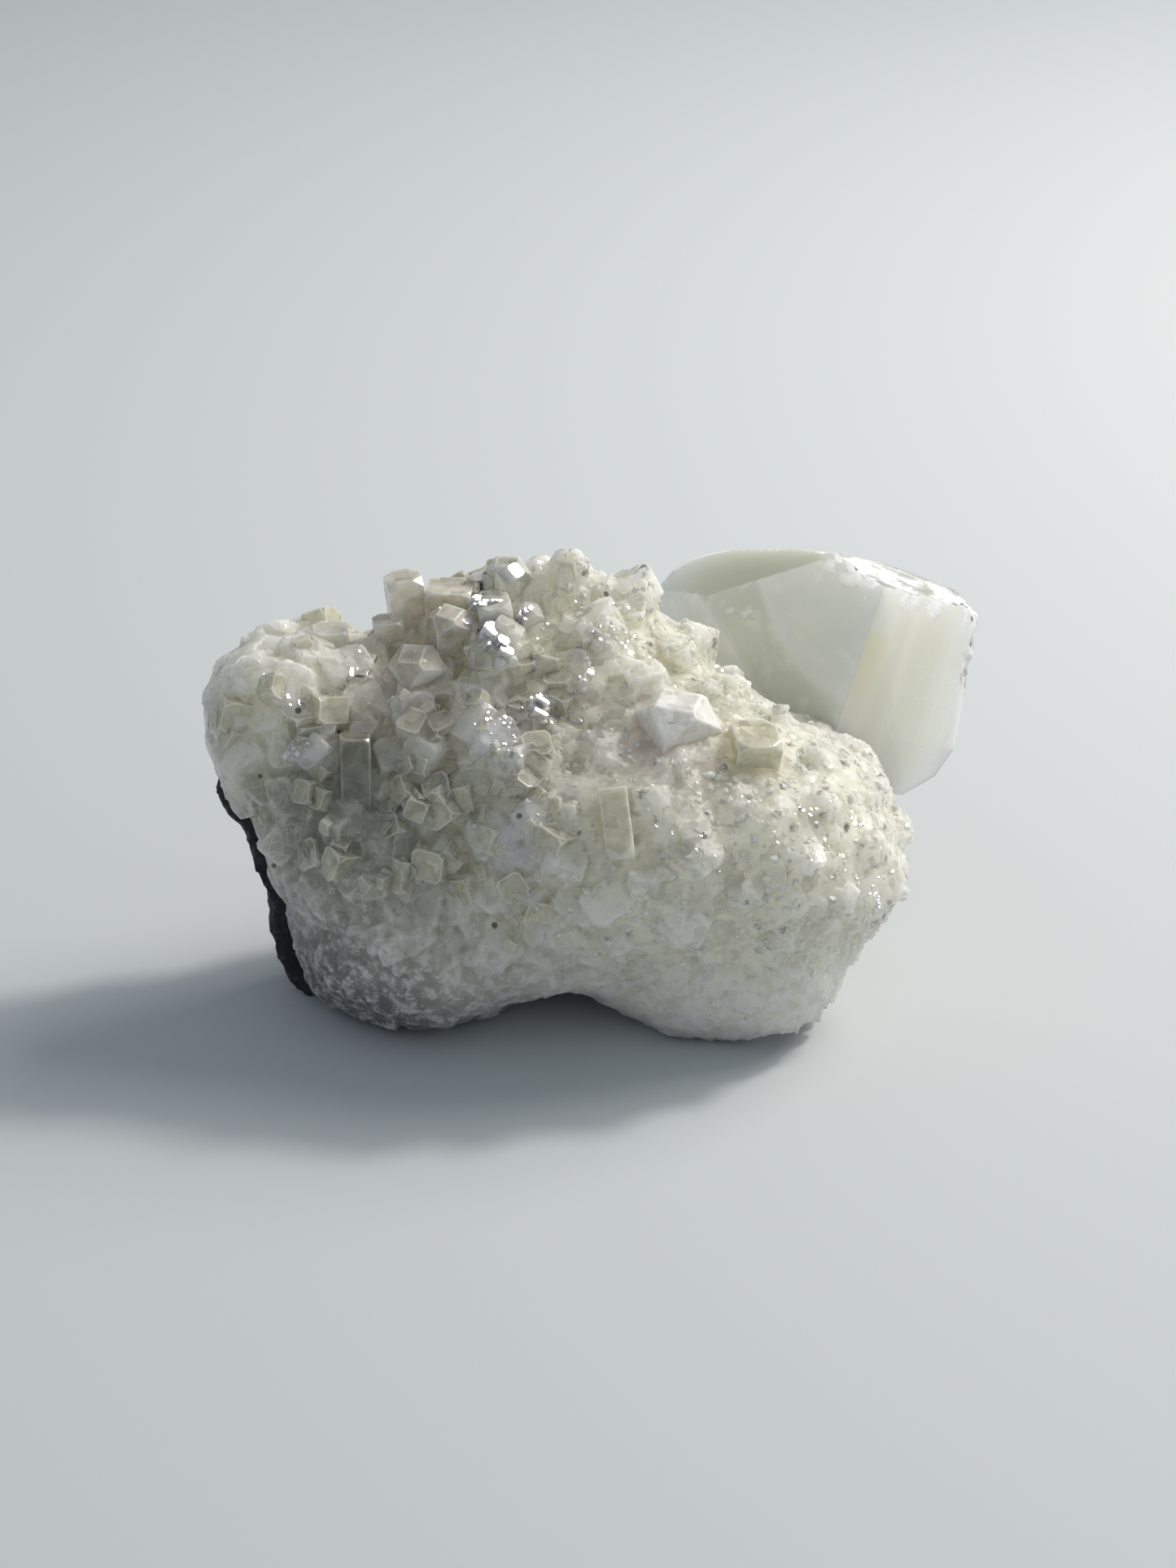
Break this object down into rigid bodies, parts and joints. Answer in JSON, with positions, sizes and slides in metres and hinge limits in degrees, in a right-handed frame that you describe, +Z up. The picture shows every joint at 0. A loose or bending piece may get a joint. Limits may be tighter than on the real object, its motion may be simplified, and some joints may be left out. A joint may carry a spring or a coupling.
{
  "type": "apophyllite specimen",
  "caption": "Natural mineral specimen: pale crust of intergrown blocky crystals on dark rock, with one large clear crystal on its shoulder. Stands on its own base.",
  "frame": {"origin": "on the surface the specimen rests on, under the middle of its bounding box", "axes": "+X along its length towards the large crystal, +Y towards its back, +Z up"},
  "size_m": [0.0514, 0.0294, 0.0295],
  "materials": {
    "basalt": "rough broken dark grey basalt",
    "crust": "translucent sugary crust, grey green above and powdery white below",
    "large_crystal": "clear to milky, glassy faces with a frosted rough top",
    "smoky_crystal": "clear with a brownish tint, glassy faces",
    "clear_crystal": "clear, glassy faces",
    "yellow_crystal": "clear with a yellowish tint, glassy faces"
  },
  "bodies": {
    "root": {"basalt_matrix": "basalt", "crystal_crust": "crust", "large_crystal": "large_crystal", "crest_crystals": "smoky_crystal", "summit_crystals": "clear_crystal", "lobe_crystals": "clear_crystal", "notch_crystal": "smoky_crystal", "left_crystal": "clear_crystal", "middle_crystal": "clear_crystal", "shoulder_crystal": "yellow_crystal", "hanging_crystal": "yellow_crystal"}
  },
  "joints": []
}
